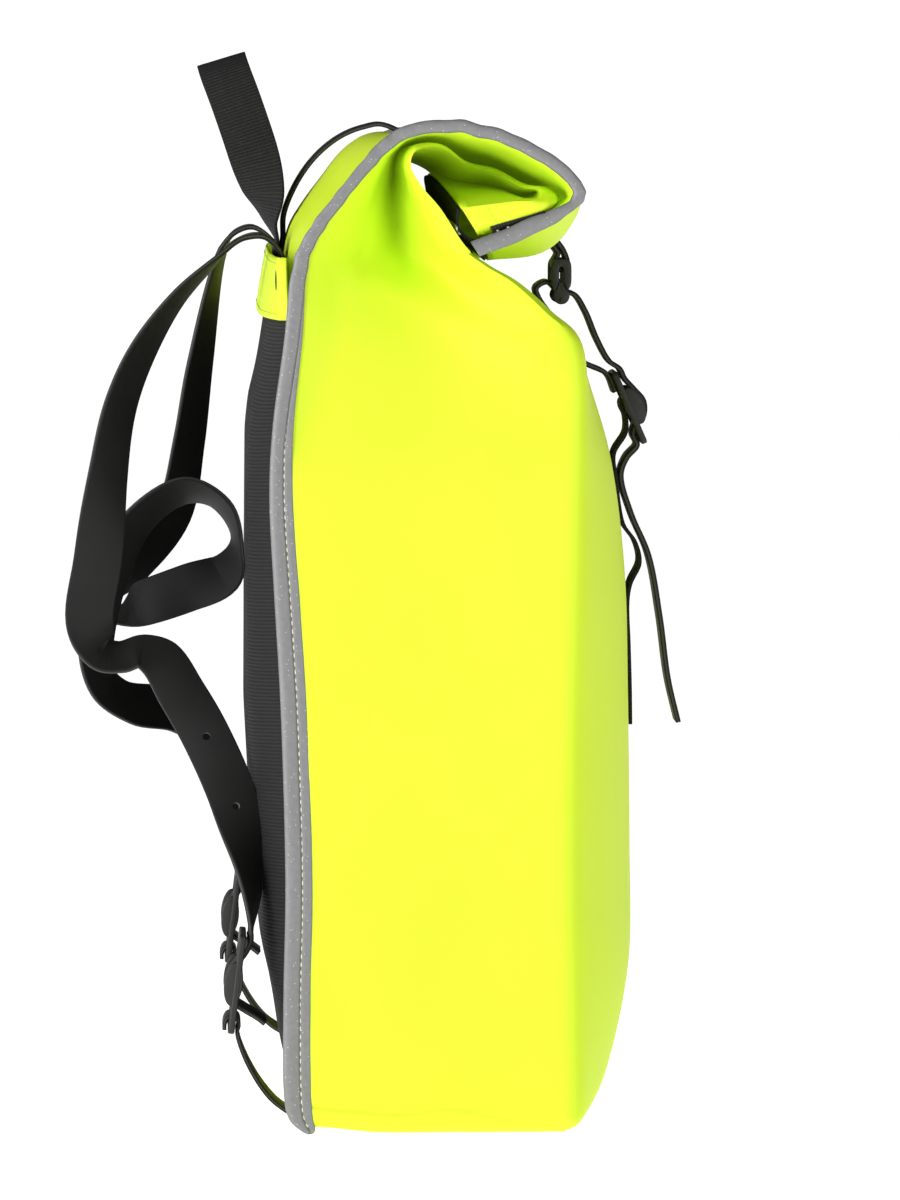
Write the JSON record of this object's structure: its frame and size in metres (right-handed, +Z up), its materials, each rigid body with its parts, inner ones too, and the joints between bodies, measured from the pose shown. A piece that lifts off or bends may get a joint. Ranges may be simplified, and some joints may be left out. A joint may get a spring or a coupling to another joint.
{
  "type": "roll-top backpack",
  "caption": "Tall coated-cloth backpack with a rolled top held by a strap and hook, bound side seams, padded back, webbing handle and slack flat shoulder straps.",
  "frame": {"origin": "middle of the flat base, on the floor", "axes": "+Z up, -Y to the front with the hook and strap, +Y to the padded back, +X across to the wearer's right"},
  "size_m": [0.3038, 0.2831, 0.4791],
  "materials": {
    "coated_cloth": "smooth satin coating, fluorescent yellow",
    "pad_knit": "matte ribbed knit",
    "binding_tape": "grey reflective tape",
    "strap_rubber": "matte coated strap",
    "webbing": "ribbed woven webbing",
    "hardware": "satin moulded",
    "zip": "woven tape with metal teeth"
  },
  "bodies": {
    "root": {"body_shell": "coated_cloth", "roll_lining": "coated_cloth", "back_panel": "coated_cloth", "anchor_patch": "coated_cloth", "back_pad": "pad_knit", "binding_left": "binding_tape", "binding_right": "binding_tape", "mouth_zip": "zip", "top_handle": "webbing", "front_webbing": "webbing", "closing_strap": "strap_rubber", "front_strap": "strap_rubber", "shoulder_strap_left": "strap_rubber", "shoulder_strap_right": "strap_rubber", "lower_strap_left": "strap_rubber", "lower_strap_right": "strap_rubber", "closing_hook": "hardware", "front_buckle": "hardware", "strap_buckle_left": "hardware", "strap_buckle_right": "hardware"}
  },
  "joints": []
}
